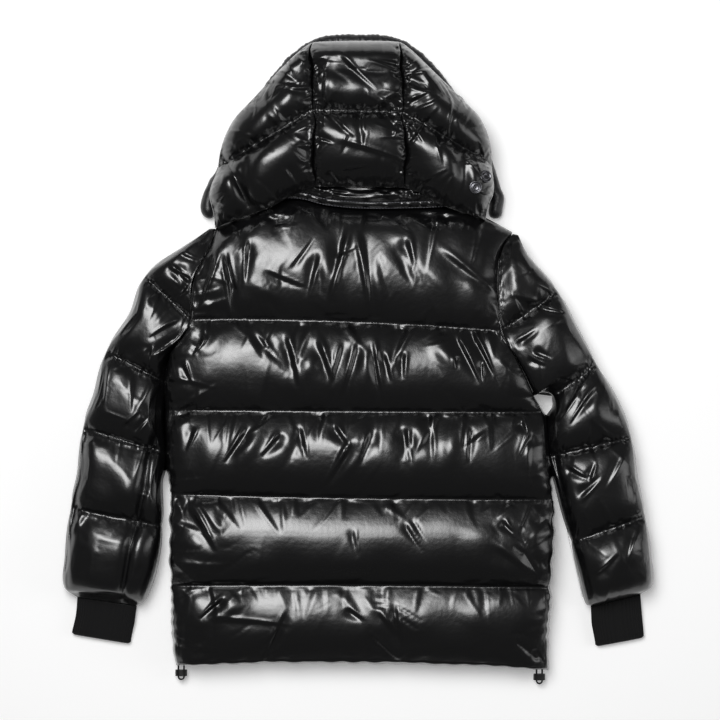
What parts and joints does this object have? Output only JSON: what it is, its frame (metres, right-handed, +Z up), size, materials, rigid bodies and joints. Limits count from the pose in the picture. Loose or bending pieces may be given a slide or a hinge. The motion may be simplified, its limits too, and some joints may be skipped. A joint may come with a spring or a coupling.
{
  "type": "hooded puffer jacket",
  "caption": "Glossy quilted puffer jacket with a hood, ribbed cuffs and a corded hem, zipped shut and laid flat on its front with its back uppermost.",
  "frame": {"origin": "middle of the bounding box's footprint, on the surface that the jacket lies on", "axes": "+Z up from the surface through the back of the jacket, +Y from the hem to the hood, +X to the wearer's right side"},
  "size_m": [0.8378, 0.9328, 0.1294],
  "materials": {
    "shell": "high-gloss black coated nylon over down padding",
    "rib_knit": "matt black ribbed knit",
    "zip_tape": "black woven tape with a nylon coil",
    "dark_metal": "polished gunmetal",
    "black_plastic": "moulded black plastic",
    "cord": "black elastic cord"
  },
  "bodies": {
    "jacket": {"back": "shell", "front_left": "shell", "front_right": "shell", "sleeve_left_upper": "shell", "sleeve_left_under": "shell", "sleeve_right_upper": "shell", "sleeve_right_under": "shell", "collar": "shell", "neck_band": "shell", "hood_left": "shell", "hood_middle": "shell", "hood_right": "shell", "hood_band": "shell", "cuff_left": "rib_knit", "cuff_right": "rib_knit", "zip": "zip_tape", "zip_slider": "dark_metal", "snap_1": "dark_metal", "snap_2": "dark_metal", "cord_lock_left": "black_plastic", "cord_lock_right": "black_plastic", "hem_cord_left": "cord", "hem_cord_right": "cord"},
    "pull": {"zip_pull": "dark_metal"}
  },
  "joints": [
    {"name": "zip_pull_hinge", "type": "hinge", "parent": "jacket", "child": "pull", "pos_m": [0.00451, 0.20734, 0.0299], "axis": [1, 0, 0], "range_deg": [0, 100]}
  ]
}
